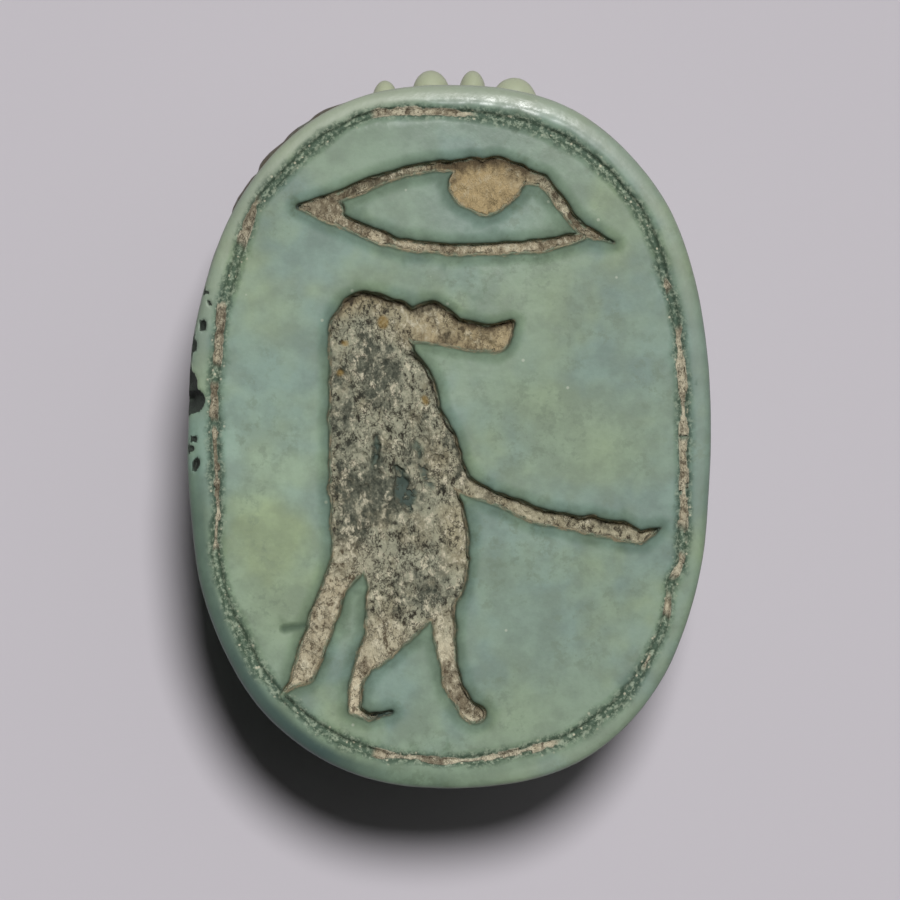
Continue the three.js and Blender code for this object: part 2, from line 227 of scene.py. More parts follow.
# Places in the figure where the floor of the cut shows its glaze: (across, along, half width,
# half length, lean in degrees).
BARE_SPOTS = [
    (-1.09, -1.29, 0.2, 0.46, 8),
    (-1.77, -0.39, 0.04, 0.2, 0),
    (-0.62, -0.79, 0.08, 0.34, 15),
    (4.95, -2.2, 0.16, 0.12, 25),
    (-1.5, -6.6, 0.34, 0.1, 0),
    (-3.66, 5.45, 0.1, 0.1, 0),
    (3.85, 4.6, 0.14, 0.08, -15),
]

# Yellow grains in the figure: (across, along, half width, half length, lean in degrees).
OCHRE_SPOTS = [
    (-1.6, 2.7, 0.13, 0.16, 0),
    (-2.62, 1.5, 0.09, 0.08, 0),
    (-0.6, 0.85, 0.08, 0.12, 20),
    (-2.5, 2.2, 0.08, 0.07, 0),
]

# Chips broken out of the rim: (across, along, half width, half length, lean in degrees).
CHIPS = [
    (-5.76, 3.42, 0.09, 0.11, 10),
    (-5.71, 3.16, 0.08, 0.15, 35),
    (-5.86, 2.64, 0.11, 0.2, -4),
    (-6.06, 2.13, 0.1, 0.28, -6),
    (-6.14, 0.86, 0.33, 0.36, 0),
    (-6.15, 1.24, 0.2, 0.42, 8),
    (-6.08, -0.05, 0.1, 0.1, 20),
    (-6.14, -0.28, 0.08, 0.1, 0),
    (-6.04, -0.66, 0.1, 0.22, -8),
]

# Places where the glaze is yellower, or below 0 bluer: (across, along, reach, amount).
GLAZE_PATCHES = [
    (-4.4, -2.4, 0.8, 1.2), (-4.5, -0.4, 1.3, 0.1), (-4.6, 3.2, 1.0, 0.5), (-4.0, -4.0, 1.0, 0.5),
    (2.2, 0.9, 0.8, 0.5), (3.5, -0.3, 0.8, 0.6), (0.6, 3.5, 1.0, 0.3), (2.5, 3.4, 0.9, 0.4),
    (0.5, 7.1, 2.0, -0.4), (0.8, 5.3, 1.2, -0.8), (-1.6, -5.8, 1.0, -0.6), (4.2, 1.8, 1.1, -0.5),
    (2.0, -4.6, 1.8, -0.6), (-3.6, 4.6, 1.0, -0.4), (-3.6, 1.6, 0.7, -0.4), (1.5, -6.3, 1.2, 0.5),
    (6.0, 2.2, 1.0, -0.9), (6.1, -1.0, 1.2, -0.7), (-6.0, 3.0, 1.0, -0.5), (4.6, -4.0, 0.8, 0.3),
]

# Places where the glaze is lighter, or below 0 darker: (across, along, reach, amount).
LIGHT_PATCHES = [
    (-4.5, -0.4, 1.4, 0.25), (-4.9, 2.6, 0.9, 0.03), (-5.75, -1.7, 0.8, -0.24), (3.0, -5.6, 2.0, -0.03),
    (4.6, -2.6, 0.7, -0.05),
]

# The earth in the cuts, and how uneven the stone is.
CRUMBS_PER_MM = 6.5
CRUMB_HEIGHT = 0.16
STREAK_LEAN = 16  # degrees that the streaks in the earth lean to the left at their tops
STREAK_SQUASH = 0.74
FILL_LUMPS = 0.9
CRUMB_LUMPS = 0.036
LINE_LUMPS = 0.035
FACE_HOLLOWS = 0.012
FACE_UNEVENNESS = 0.008
BACK_UNEVENNESS = 0.035
CHIP_NARROWING = 0.35  # how fast a chip closes with its depth
SHADE_SHIFT = 0.2  # how far towards the light a point looks for a wall that shades it

FAR = 2.0  # field value where nothing is near
REACH = 0.3  # how far round a shape the field is worked out
NOISE_CELLS = 64
STEP = 0.045  # between grid points
FACE_BAND = 0.8  # depth under the base's face that the design can reach
MOST_TRIANGLES = 190000

# How softly forms run into each other.
SOFT_BLEND = 0.08
BLEND = 0.06
SHARP_BLEND = 0.04

# Lights: (name, energy, how wide in degrees, degrees clockwise from the head end, height in degrees).
SUNS = [("key", 3.0, 11.5, 13.5, 71.4), ("soft", 0.2, 50, 50, 63)]
WORLD_STRENGTH = 0.013
FLOOR_HALF_SIZE = 0.6  # metres

# The camera looks down on the middle of the view, from a little to one side.
VIEW_MIDDLE = (-0.02, -0.32)
VIEW_WIDTH = 21.33
CAMERA_LEAN = 2.5
CAMERA_LEAN_WAY = 120  # degrees anticlockwise from the right side
LENS = 300
SENSOR_WIDTH = 36


def smooth_min(a, b, blend):
    share = np.clip(0.5 + 0.5 * (b - a) / blend, 0, 1)
    return b + (a - b) * share - blend * share * (1 - share)


def smooth_max(a, b, blend):
    return -smooth_min(-a, -b, blend)


def ramp(value, low, high):
    """0 below low and 1 above high, smoothly."""
    share = np.clip((value - low) / (high - low), 0, 1)
    return share * share * (3 - 2 * share)


def noise(seed, cell, *coordinates):
    """Smooth noise from -1 to 1 whose lumps are about one cell wide."""
    table = np.random.default_rng(seed).uniform(-1, 1, (NOISE_CELLS,) * len(coordinates))
    table = table.astype(np.float32)
    spots = [np.asarray(c, np.float32) / cell for c in coordinates]
    lows = [np.floor(s).astype(int) for s in spots]
    shares = [ramp(s - low, 0, 1) for s, low in zip(spots, lows)]
    total = 0
    for corner in np.ndindex(*(2,) * len(coordinates)):
        weight = 1
        for share, up in zip(shares, corner):
            weight = weight * (share if up else 1 - share)
        total = total + weight * table[tuple((low + up) % NOISE_CELLS for low, up in zip(lows, corner))]
    return total


def layered_noise(seed, cell, layers, *coordinates):
    """Several noises, each half as large and half as strong as the one before."""
    return sum(
        noise(seed + layer, cell / 2**layer, *coordinates) / 2**layer for layer in range(layers)
    )


def streak_axes(x, y):
    """The base's coordinates turned and stretched the way that the earth's streaks run."""
    c = math.cos(math.radians(STREAK_LEAN))
    s = math.sin(math.radians(STREAK_LEAN))
    return x * c + y * s, (y * c - x * s) * STREAK_SQUASH


def oval_distance(x, y, half, centre=(0, 0)):
    """Distance from the edge of an oval, negative inside and true near the edge."""
    x = x - centre[0]
    y = y - centre[1]
    power = np.where(y >= 0, HEAD_POWER, TAIL_POWER)
    across = np.abs(x) / half[0]
    along = np.abs(y) / half[1]
    share = (across**power + along**power) ** (1 / power) + 1e-6
    slope = share ** (1 - power) * np.hypot(
        across ** (power - 1) / half[0], along ** (power - 1) / half[1]
    )
    return (share - 1) / np.maximum(slope, 0.1)


def cone_distance(axes, start, end, start_radius, end_radius):
    """Distance from a bar with round ends of two radii, in two or three dimensions."""
    along = [e - s for s, e in zip(start, end)]
    length2 = sum(a * a for a in along)
    step = start_radius - end_radius
    rest = max(length2 - step * step, 0)
    place = [axis - s for axis, s in zip(axes, start)]
    y = sum(p * a for p, a in zip(place, along))
    z = y - length2
    x2 = sum((p * length2 - a * y) ** 2 for p, a in zip(place, along))
    y2 = y * y * length2
    z2 = z * z * length2
    turn = math.copysign(step * step, step) * x2
    side = (np.sqrt(x2 * rest / length2) + y * step) / length2 - start_radius
    at_start = np.sqrt(x2 + y2) / length2 - start_radius
    at_end = np.sqrt(x2 + z2) / length2 - end_radius
    side = np.where(np.sign(y) * rest * y2 < turn, at_start, side)
    return np.where(np.sign(z) * rest * z2 > turn, at_end, side)


def stroke_distance(x, y, rows):
    return np.minimum.reduce(
        [cone_distance((x, y), a[:2], b[:2], a[2], b[2]) for a, b in zip(rows, rows[1:])]
    )


def spot_distance(x, y, spot):
    """Distance from a small leaning ellipse on the base."""
    across, along, half_width, half_length, lean = spot
    c = math.cos(math.radians(lean))
    s = math.sin(math.radians(lean))
    u = (x - across) * c + (y - along) * s
    v = (y - along) * c - (x - across) * s
    share = np.hypot(u / half_width, v / half_length)
    return (share - 1) * min(half_width, half_length)


def angle_of(x, y):
    """Degrees anticlockwise from the base's right side, seen from above."""
    return np.degrees(np.arctan2(y, x))


def by_angle(x, y, rows):
    """A value from rows of (degrees, value), at the angle of each point."""
    angles, values = zip(*rows)
    return np.interp(angle_of(x, y), angles, values, period=360)


def soft_patches(x, y, rows):
    """Round patches that fade out, from rows of (across, along, reach, amount)."""
    return sum(
        amount * np.exp(-((x - across) ** 2 + (y - along) ** 2) / reach**2)
        for across, along, reach, amount in rows
    )


def nearest_spot(x, y, spots):
    return np.minimum.reduce([spot_distance(x, y, spot) for spot in spots])


def border_distance(x, y):
    """Distance from the middle of the border line, from where it strays from a plain oval."""
    half = [size - BORDER_INSET for size in BASE_HALF]
    across, along = np.array(BORDER_POINTS).T
    stray = oval_distance(across, along, half)
    return oval_distance(x, y, half) - by_angle(x, y, list(zip(angle_of(across, along), stray)))


def edge_bumps(x, y):
    """How far the plate's edge stands out from the plain oval."""
    angle = angle_of(x, y) % 360
    return sum(
        amount * np.exp(-(((angle - middle) / spread) ** 2)) for middle, spread, amount in EDGE_BUMPS
    )


def stretches(x, y, rows):
    """1 along stretches of the rim's circle, given as (from, to) in degrees, and 0 between them."""
    angle = angle_of(x, y) % 360 + 1.5 * noise(51, 0.5, x, y)
    return np.maximum.reduce([
        ramp(angle, low - 1, low + 1) * ramp(-angle, -high - 1, -high + 1) for low, high in rows
    ])


class Plan:
    """What the base looks like from straight above, at the given points."""

    def __init__(self, x, y):
        wobble = CUT_WOBBLE * layered_noise(11, CUT_WOBBLE_CELL, 2, x, y)
        self.edge = oval_distance(x, y, BASE_HALF) + 0.02 * noise(3, 1.6, x, y) - edge_bumps(x, y)
        figure, figure_tan, figure_gold = self.strokes(x, y, FIGURE_STROKES)
        eye, eye_tan, eye_gold = self.strokes(x, y, EYE_STROKES)
        in_figure = figure < eye
        self.cut = np.where(in_figure, figure + wobble, eye + 0.8 * wobble)
        self.tan = np.where(in_figure, figure_tan, eye_tan)
        self.gold = np.where(in_figure, figure_gold, eye_gold)
        self.line_width = BORDER_WIDTH / 2 * (1 + 0.2 * layered_noise(6, 0.8, 2, x, y))
        self.line = np.abs(border_distance(x, y) + BORDER_SHIFT + 0.5 * wobble)
        self.nick = stroke_distance(x, y, NICK) + wobble
        self.line_share = 1 - self.line / self.line_width
        self.bare = nearest_spot(x, y, BARE_SPOTS)
        self.bare = self.bare + 0.08 * layered_noise(18, 0.24, 3, *streak_axes(x, y))
        self.ochre = nearest_spot(x, y, OCHRE_SPOTS)
        self.chip = nearest_spot(x, y, CHIPS)
        self.chip = self.chip + 0.02 * layered_noise(17, 0.3, 2, x, y)
        rim_share = np.maximum(self.edge / (BORDER_INSET - 0.08) + 1, 0)
        self.rim_fall = by_angle(x, y, RIM_FALLS) * rim_share**2
        # Worn glaze with painted highlight where the rim faces the light, and painted shade where it faces
        # away.
        self.rim = by_angle(x, y, RIM_TONE_AND_PAINTED_LIGHT) * ramp(rim_share, 0.15, 0.6)
        self.gloss = np.exp(-(((angle_of(x, y) - GLOSS_MIDDLE) / GLOSS_SPREAD) ** 2))
        self.light = 1 - 0.03 * np.clip(x / 5, -1, 1) + soft_patches(x, y, LIGHT_PATCHES)
        self.warmth = soft_patches(x, y, GLAZE_PATCHES)
        self.face = HEIGHT - self.rim_fall - FACE_HOLLOWS * (1 + noise(8, 2.0, x, y))
        groove = BORDER_DEPTH * (1 - np.clip(1 - self.line_share, 0, 1) ** 2)
        groove = np.maximum(groove, NICK_DEPTH * ramp(-self.nick, -0.06, 0.05))
        lumps = LINE_LUMPS * layered_noise(22, 0.16, 2, x, y) * ramp(self.line_share, 0, 0.5)
        self.grooved = self.face - groove + lumps
        depth = np.where(in_figure, FIGURE_DEPTH, EYE_DEPTH)
        lumps = FILL_LUMPS * layered_noise(21, 0.36, 3, *streak_axes(x, y))
        shown = ramp(-self.bare, -0.05, 0.03)
        fill = 0.3 + 0.14 * self.tan + 0.2 * (1 - 0.6 * self.tan) * lumps
        fill = np.clip(fill, 0.0, 0.65) * (1 - shown) + 0.2 * shown
        self.floor = self.face - depth * (1 - fill)

    def strokes(self, x, y, strokes):
        """The distance from the nearest stroke, and how tan and how golden its earth is."""
        nearest = np.full(np.broadcast(x, y).shape, FAR, np.float32)
        tan = np.zeros_like(nearest)
        gold = np.zeros_like(nearest)
        total = np.full_like(nearest, 1e-6)
        for stroke_tan, stroke_gold, rows in strokes.values():
            distance = stroke_distance(x, y, rows)
            weight = ramp(-distance, -0.3, 0.25)
            tan += stroke_tan * weight
            gold += stroke_gold * weight
            total += weight
            nearest = np.minimum(nearest, distance)
        return nearest, tan / total, gold / total


class Field:
    """Signed distances on a regular grid, negative inside the stone."""

    def __init__(self, low, high, step):
        self.low = np.array(low, np.float32)
        self.step = step
        self.shape = np.ceil((np.array(high) - self.low) / step).astype(int) + 1
        self.value = np.full(self.shape, FAR, np.float32)

    def near(self, low, high):
        """The part of the grid in a box, and its coordinates."""
        first = np.clip(np.floor((np.array(low) - self.low) / self.step).astype(int), 0, self.shape)
        last = np.clip(np.ceil((np.array(high) - self.low) / self.step).astype(int) + 1, 0, self.shape)
        part = tuple(slice(a, b) for a, b in zip(first, last))
        lines = [
            self.low[axis] + self.step * np.arange(first[axis], last[axis], dtype=np.float32)
            for axis in range(3)
        ]
        return part, np.ix_(*lines)

    def whole(self):
        """The coordinates of the whole grid."""
        return self.near(self.low, self.low + self.step * self.shape)[1]

    def above(self, height):
        """The part of the grid above a height, and its points' heights."""
        low = self.low.copy()
        low[2] = height
        part, axes = self.near(low, self.low + self.step * self.shape)
        return part, axes[2]

    def join(self, shape, low, high, blend):
        part, axes = self.near(np.array(low) - REACH, np.array(high) + REACH)
        self.value[part] = smooth_min(self.value[part], shape(*axes), blend)

    def cut(self, shape, low, high, blend):
        part, axes = self.near(np.array(low) - REACH, np.array(high) + REACH)
        self.value[part] = smooth_max(self.value[part], -shape(*axes), blend)

    def join_ball(self, centre, radii, blend):
        def shape(x, y, z):
            place = [(axis - c) / r for axis, c, r in zip((x, y, z), centre, radii)]
            share = np.sqrt(sum(p * p for p in place))
            slope = np.sqrt(sum((p / r) ** 2 for p, r in zip(place, radii)))
            return share * (share - 1) / np.maximum(slope, 0.1)

        self.join(shape, np.array(centre) - radii, np.array(centre) + radii, blend)

    def along(self, act, path, blend):
        """Joins or cuts a bar along a path of (x, y, z, radius)."""
        for start, end in zip(path, path[1:]):
            low = np.minimum(start[:3], end[:3]) - max(start[3], end[3])
            high = np.maximum(start[:3], end[:3]) + max(start[3], end[3])

            def shape(x, y, z, start=start, end=end):
                return cone_distance((x, y, z), start[:3], end[:3], start[3], end[3])

            act(shape, low, high, blend)


def rounded_slab(edge, z, low, high, rounding):
    """Distance from a flat outline raised between two heights, with rounded edges."""
    out = edge + rounding
    up = np.abs(z - (low + high) / 2) - (high - low) / 2 + rounding
    inside = np.minimum(np.maximum(out, up), 0)
    return inside + np.hypot(np.maximum(out, 0), np.maximum(up, 0)) - rounding


def oval_point(inset, degrees):
    """A point of the plate's edge moved in by an inset. 90 degrees is the head end."""
    c = math.cos(math.radians(degrees))
    s = math.sin(math.radians(degrees))
    power = HEAD_POWER if s >= 0 else TAIL_POWER
    return (
        (BASE_HALF[0] - inset) * math.copysign(abs(c) ** (2 / power), c),
        (BASE_HALF[1] - inset) * math.copysign(abs(s) ** (2 / power), s),
    )


def side_point(inset, degrees, share, side):
    x, y = oval_point(inset, degrees)
    return side * x, y, PLATE_FOOT_Z + (SHOULDER_Z - PLATE_FOOT_Z) * share


def smooth_path(points, steps):
    """Points along a smooth curve through a few points."""
    rows = np.array([points[0], *points, points[-1]], float)
    path = []
    for i in range(1, len(rows) - 2):
        a, b, c, d = rows[i - 1 : i + 3]
        for t in np.linspace(0, 1, steps, endpoint=False):
            path.append(
                0.5 * (2 * b + (c - a) * t + (2 * a - 5 * b + 4 * c - d) * t**2
                       + (3 * b - a - 3 * c + d) * t**3)
            )
    return np.array([*path, rows[-1]])


def back_z(x, y):
    """Height of the beetle's back over the resting plane."""
    power = HEAD_POWER if y >= BACK_CENTRE_Y else TAIL_POWER
    across = abs(x) / BACK_HALF[0]
    along = abs(y - BACK_CENTRE_Y) / BACK_HALF[1]
    share = min((across**power + along**power) ** (1 / power), 0.98)
    return SHOULDER_Z - BACK_HEIGHT * (1 - share**BACK_POWER) ** (1 / BACK_POWER)


def add_plate(field, plan, z):
    """The oval plate with its rounded, sloping rim."""
    slab = rounded_slab(
        plan.edge[:, :, None], z + plan.rim_fall[:, :, None], PLATE_FOOT_Z, HEIGHT, RIM_ROUNDING
    )
    field.value = slab.astype(np.float32)


def add_core(field, plan, z):
    """The step of stone behind the legs."""
    edge = plan.edge[:, :, None] + CORE_INSET
    core = rounded_slab(edge, z, PLATE_FOOT_Z - CORE_THICKNESS, PLATE_FOOT_Z + REACH, CORE_ROUNDING)
    field.value = smooth_min(field.value, core, SOFT_BLEND)


def add_back(field, x, y, z):
    """The wing cases and the thorax: an oval dome under straight walls."""
    plan_distance = oval_distance(x, y, BACK_HALF, (0, BACK_CENTRE_Y))
    power = np.where(y >= BACK_CENTRE_Y, HEAD_POWER, TAIL_POWER)
    across = np.abs(x) / BACK_HALF[0]
    along = np.abs(y - BACK_CENTRE_Y) / BACK_HALF[1]
    share = (across**power + along**power) ** (1 / power) + 1e-6
    plan_slope = np.where(np.abs(share - 1) > 1e-5, (share - 1) / plan_distance, 0.15)
    drop = np.maximum(SHOULDER_Z - z, 0) / BACK_HEIGHT + 1e-6
    total = (share**BACK_POWER).astype(np.float32) + (drop**BACK_POWER).astype(np.float32)
    level = total ** (1 / BACK_POWER)
    slope = np.hypot(
        (share ** (BACK_POWER - 1) * plan_slope).astype(np.float32),
        (drop ** (BACK_POWER - 1) / BACK_HEIGHT).astype(np.float32),
    )
    dome = (level - 1) * level ** (BACK_POWER - 1) / np.maximum(slope, 0.02)
    dome = np.maximum(dome, z - HEIGHT + PLATE_THICKNESS / 2)
    field.value = smooth_min(field.value, np.clip(dome, -FAR, FAR), SOFT_BLEND)


def blunt_radii(count, radius, power):
    """Radii along a limb that closes bluntly at both ends."""
    shares = np.linspace(-1, 1, count)
    return radius * np.sqrt(np.maximum(1 - np.abs(shares) ** power, 0.03))


def add_legs(field):
    """Three legs on each side with notched outer edges, and the front legs' digging teeth."""
    notches = []
    for side in (-1, 1):
        for rows in LEGS:
            path = smooth_path([side_point(LEG_INSET, a, share, side) for a, share in rows], 5)
            radii = blunt_radii(len(path), LEG_RADIUS, 6)
            field.along(field.join, np.column_stack([path, radii]), BLEND)
            outer = smooth_path(
                [side_point(LEG_INSET - LEG_RADIUS, a, share, side) for a, share in rows], 5
            )
            notches += [(outer[i], radii[i]) for i in range(2, len(outer) - 2)]
        for degrees in DIGGING_TEETH:
            inner = side_point(DIGGING_TOOTH_INSET + DIGGING_TOOTH_LEAN, degrees + 6, 0.3, side)
            outer = side_point(DIGGING_TOOTH_INSET, degrees - 5, 0.3, side)
            path = smooth_path([inner, outer], 6)
            radii = blunt_radii(len(path), DIGGING_TOOTH_RADIUS, 4)
            field.along(field.join, np.column_stack([path, radii]), BLEND)
    for (x, y, z), radius in notches:
        reach = NOTCH_REACH * radius
        line = [(x, y, z - reach, NOTCH_RADIUS), (x, y, z + reach, NOTCH_RADIUS)]
        field.along(field.cut, line, SHARP_BLEND)


def add_head(field):
    """The head, with its shield of blunt teeth and its two eyes."""
    half_width = HEAD_WIDTH / 2
    half_length = HEAD_LENGTH / 2
    skull_z = HEIGHT - SKULL_DEPTH
    shield_z = HEIGHT - SHIELD_DEPTH
    field.join_ball(
        (0, HEAD_CENTRE_Y - 0.4, skull_z),
        (half_width * 0.92, half_length + 0.45, SKULL_THICKNESS / 2),
        SOFT_BLEND,
    )
    field.join_ball(
        (0, HEAD_CENTRE_Y, shield_z), (half_width, half_length, SHIELD_THICKNESS / 2), 0.1
    )
    for across, short, half_tooth in TEETH:
        root_y = HEAD_CENTRE_Y + half_length * math.sqrt(1 - across * across) - TOOTH_ROOT
        radii = (half_tooth, HEAD_REACH - short - root_y, TOOTH_HALF_HEIGHT)
        field.join_ball((across * half_width, root_y, shield_z), radii, BLEND)
    for side in (-1, 1):
        centre = (side * half_width * 0.8, HEAD_CENTRE_Y - 0.2, skull_z - 0.25)
        field.join_ball(centre, tuple(size / 2 for size in EYE_SIZE), 0.05)


def cut_back_lines(field):
    """The collar behind the thorax, the seam between the wing cases and the shoulder notches."""
    lines = []
    shares = np.linspace(-1, 1, 25)
    collar = [(s * BACK_HALF[0], COLLAR_Y - COLLAR_BOW * (1 - s * s)) for s in shares]
    lines.append(collar)
    lines.append([(x * 0.985, y + 0.3) for x, y in collar])
    seam_ends = (COLLAR_Y - COLLAR_BOW, BACK_CENTRE_Y - BACK_HALF[1])
    lines.append([(0, y) for y in np.linspace(*seam_ends, 25)])
    for side in (-1, 1):
        lines.append([
            (side * BACK_HALF[0] * share, COLLAR_Y - behind)
            for share, behind in SHOULDER_NOTCH
        ])
    for line in lines:
        path = [(x, y, back_z(x, y), LINE_RADIUS) for x, y in line]
        field.along(field.cut, path, BLEND)


def cut_design(field, plan):
    """Everything cut in the base's face, and the chips out of its rim."""
    part, z = field.above(HEIGHT - FACE_BAND)
    lean = WALL_SLOPE * np.clip(plan.face[:, :, None] - z, -0.1, 1)
    sink = smooth_max(plan.cut[:, :, None] + lean, plan.floor[:, :, None] - z, 0.05)
    shallow = (plan.grooved[:, :, None] - z) * 0.8
    field.value[part] = smooth_max(field.value[part], -shallow, 0.03)
    field.value[part] = smooth_max(field.value[part], -sink, 0.045)
    part, z = field.above(PLATE_FOOT_Z - 0.1)
    chip = plan.chip[:, :, None] + CHIP_NARROWING * np.maximum(HEIGHT - z, 0)
    field.value[part] = smooth_max(field.value[part], -chip, SHARP_BLEND)


def cut_hole(field):
    """The threading hole, from the tail to the head."""
    def shape(x, y, z):
        return np.hypot(x, z - (HEIGHT - HOLE_DEPTH)) - HOLE_RADIUS + 0 * y

    low = (-HOLE_RADIUS, field.low[1], HEIGHT - HOLE_DEPTH - HOLE_RADIUS)
    high = (HOLE_RADIUS, HEAD_REACH + 1, HEIGHT - HOLE_DEPTH + HOLE_RADIUS)
    field.cut(shape, low, high, HOLE_ROUNDING)


def mesh_from(field, name):
    """The field's surface as a mesh, in metres."""
    band = 3 * field.step
    grid = openvdb.FloatGrid(band)
    grid.copyFromArray(np.clip(field.value, -band, band), tolerance=1e-4)
    points, quads = grid.convertToQuads(isovalue=0)
    mesh = bpy.data.meshes.new(name)
    mesh.vertices.add(len(points))
    mesh.vertices.foreach_set("co", ((points * field.step + field.low) * MM).ravel())
    mesh.loops.add(quads.size)
    mesh.loops.foreach_set("vertex_index", quads.ravel())
    mesh.polygons.add(len(quads))
    mesh.polygons.foreach_set("loop_start", np.arange(0, quads.size, 4))
    mesh.update(calc_edges=True)
    return mesh


def coordinates(mesh):
    places = np.empty(len(mesh.vertices) * 3, np.float32)
    mesh.vertices.foreach_get("co", places)
    return places.reshape(-1, 3) / MM


def vertex_normals(mesh):
    normals = np.empty(len(mesh.vertices) * 3, np.float32)
    mesh.vertices.foreach_get("normal", normals)
    return normals.reshape(-1, 3)


def roughen(mesh):
    """Small unevenness of hand-cut stone, and the lumps of the earth in the cuts."""
    places = coordinates(mesh)
    normals = vertex_normals(mesh)
    x, y, z = places.T
    plan = Plan(x, y)
    below = ramp(plan.face - z, 0.5, 1.2)
    push = FACE_UNEVENNESS * layered_noise(31, 1.1, 2, x, y, z)
    push = push + below * BACK_UNEVENNESS * layered_noise(34, 1.6, 3, x, y, z)
    inside = ramp(plan.face - z, 0.12, 0.25) * ramp(-plan.cut, 0.0, 0.06) * (z > HEIGHT - FACE_BAND)
    across, along = streak_axes(x, y)
    push = push + inside * CRUMB_LUMPS * layered_noise(41, 0.15, 2, across, along, z)
    places = places + normals * push[:, None]
    places[:, 2] = np.maximum(places[:, 2], 0)
    mesh.vertices.foreach_set("co", (places * MM).ravel())
    mesh.update()


def thin(piece, most):
    """Fewer triangles where the stone is plain, and all of them along the cuts."""
    x, y, z = coordinates(piece.data).T
    plan = Plan(x, y)
    nearest = np.minimum(np.minimum(plan.cut, plan.chip), plan.line - BORDER_WIDTH / 2)
    near_cut = ramp(0.3 - nearest, 0, 0.25) * (z > HEIGHT - FACE_BAND)
    group = piece.vertex_groups.new(name="plain")
    weights = np.clip(1 - near_cut, 0.04, 1)
    for level in np.unique(np.round(weights, 1)):
        chosen = np.flatnonzero(np.round(weights, 1) == level).tolist()
        group.add(chosen, max(float(level), 0.04), "REPLACE")
    modifier = piece.modifiers.new("thin", "DECIMATE")
    modifier.ratio = min(1, most / (2 * len(piece.data.polygons)))
    modifier.vertex_group = group.name
    modifier.vertex_group_factor = 1.0
    graph = bpy.context.evaluated_depsgraph_get()
    thinned = bpy.data.meshes.new_from_object(piece.evaluated_get(graph))
    piece.modifiers.clear()
    piece.vertex_groups.clear()
    piece.data = thinned


def hollow_share(mesh):
    """How deep each point lies in a hollow, from the points round it: 0 on a flat, 1 in a crease."""
    places = coordinates(mesh)
    normals = vertex_normals(mesh)
    edges = np.empty(len(mesh.edges) * 2, np.int32)
    mesh.edges.foreach_get("vertices", edges)
    a, b = edges.reshape(-1, 2).T
    count = np.bincount(a, minlength=len(places)) + np.bincount(b, minlength=len(places))

    def around(values):
        total = np.bincount(a, values[b], len(places)) + np.bincount(b, values[a], len(places))
        return total / np.maximum(count, 1)

    smoothed = places.T
    for _ in range(12):
        smoothed = [around(line) for line in smoothed]
    lift = ((np.array(smoothed).T - places) * normals).sum(1)
    for _ in range(3):
        lift = around(lift)
    return np.clip(lift / 0.06, -1, 1)


def add_attribute(mesh, name, values):
    attribute = mesh.attributes.new(name, "FLOAT", "POINT")
    attribute.data.foreach_set("value", np.asarray(values, np.float32))


def add_looks_data(mesh):
    """Notes at each point what the material needs: which cut it is in, and how deep."""
    x, y, z = coordinates(mesh).T
    plan = Plan(x, y)
    on_face = z > HEIGHT - FACE_BAND
    under = plan.face - z
    chip = plan.chip + CHIP_NARROWING * np.maximum(under, 0)
    add_attribute(mesh, "edge", np.where(on_face, np.clip(plan.cut, -0.6, 0.6), 0.6))
    nearer = plan.cut - Plan(x, y + SHADE_SHIFT).cut
    add_attribute(mesh, "shaded", ramp(-nearer, 0, 0.7 * SHADE_SHIFT) * (plan.cut < 0.1))
    add_attribute(mesh, "tan", np.where(plan.cut < 0.1, plan.tan, BORDER_TAN))
    add_attribute(mesh, "gold", plan.gold)
    add_attribute(mesh, "line", np.where(on_face & (plan.cut > 0), np.clip(plan.line_share, -3, 1), -3))
    add_attribute(mesh, "line_earth", stretches(x, y, BORDER_EARTH) * on_face * (plan.nick > 0.2))
    add_attribute(mesh, "nick", ramp(-plan.nick, -0.12, 0.06) * on_face)
    add_attribute(mesh, "bare", ramp(-plan.bare, -0.1, 0.06) * on_face)
    add_attribute(mesh, "ochre", ramp(-plan.ochre, -0.03, 0.03) * on_face)
    add_attribute(mesh, "chip", ramp(-chip, -0.05, 0.0) * (under > 0.03) * (z > PLATE_FOOT_Z - 0.2))
    add_attribute(mesh, "gloss", plan.gloss)
    add_attribute(mesh, "rim", plan.rim * ramp(-under, -1.2, -0.4))
    add_attribute(mesh, "warmth", plan.warmth * on_face)
    add_attribute(mesh, "light", np.where(on_face, plan.light, 1))
    add_attribute(mesh, "hollow", hollow_share(mesh))
    add_attribute(mesh, "below", ramp(under, 0.5, 1.6))
    leg_brown = stretches(x, y, BROWNED_LEG_STRETCHES) * ramp(under, 0.9, 1.5) * ramp(plan.edge, -0.3, 0)
    add_attribute(mesh, "leg_brown", leg_brown)
    add_attribute(mesh, "head", ramp(y, BASE_HALF[1] - 0.6, BASE_HALF[1] - 0.3) * ramp(under, 0.8, 1.2))


def make_stone():
    field = Field(
        (-BASE_HALF[0] - REACH, -BASE_HALF[1] - REACH, -REACH),
        (BASE_HALF[0] + REACH, HEAD_REACH + REACH, HEIGHT + REACH),
        STEP,
    )
    x, y, z = field.whole()
    plan = Plan(x[:, :, 0], y[:, :, 0])
    add_plate(field, plan, z)
    add_core(field, plan, z)
    add_back(field, x, y, z)
    add_legs(field)
    add_head(field)
    cut_back_lines(field)
    cut_hole(field)
    cut_design(field, plan)
    field.value = np.maximum(field.value, -z)
    mesh = mesh_from(field, "scarab_carved_stone")
    roughen(mesh)
    piece = bpy.data.objects.new("scarab_carved_stone", mesh)
    bpy.context.scene.collection.objects.link(piece)
    bpy.context.view_layer.update()
    thin(piece, MOST_TRIANGLES)
    piece.data.shade_smooth()
    add_looks_data(piece.data)
    return piece


def srgb(red, green, blue):
    """A colour from its 0 to 255 values, as the material's sockets take it."""
    def linear(value):
        share = value / 255
        return share / 12.92 if share <= 0.04045 else ((share + 0.055) / 1.055) ** 2.4

    return linear(red), linear(green), linear(blue), 1.0


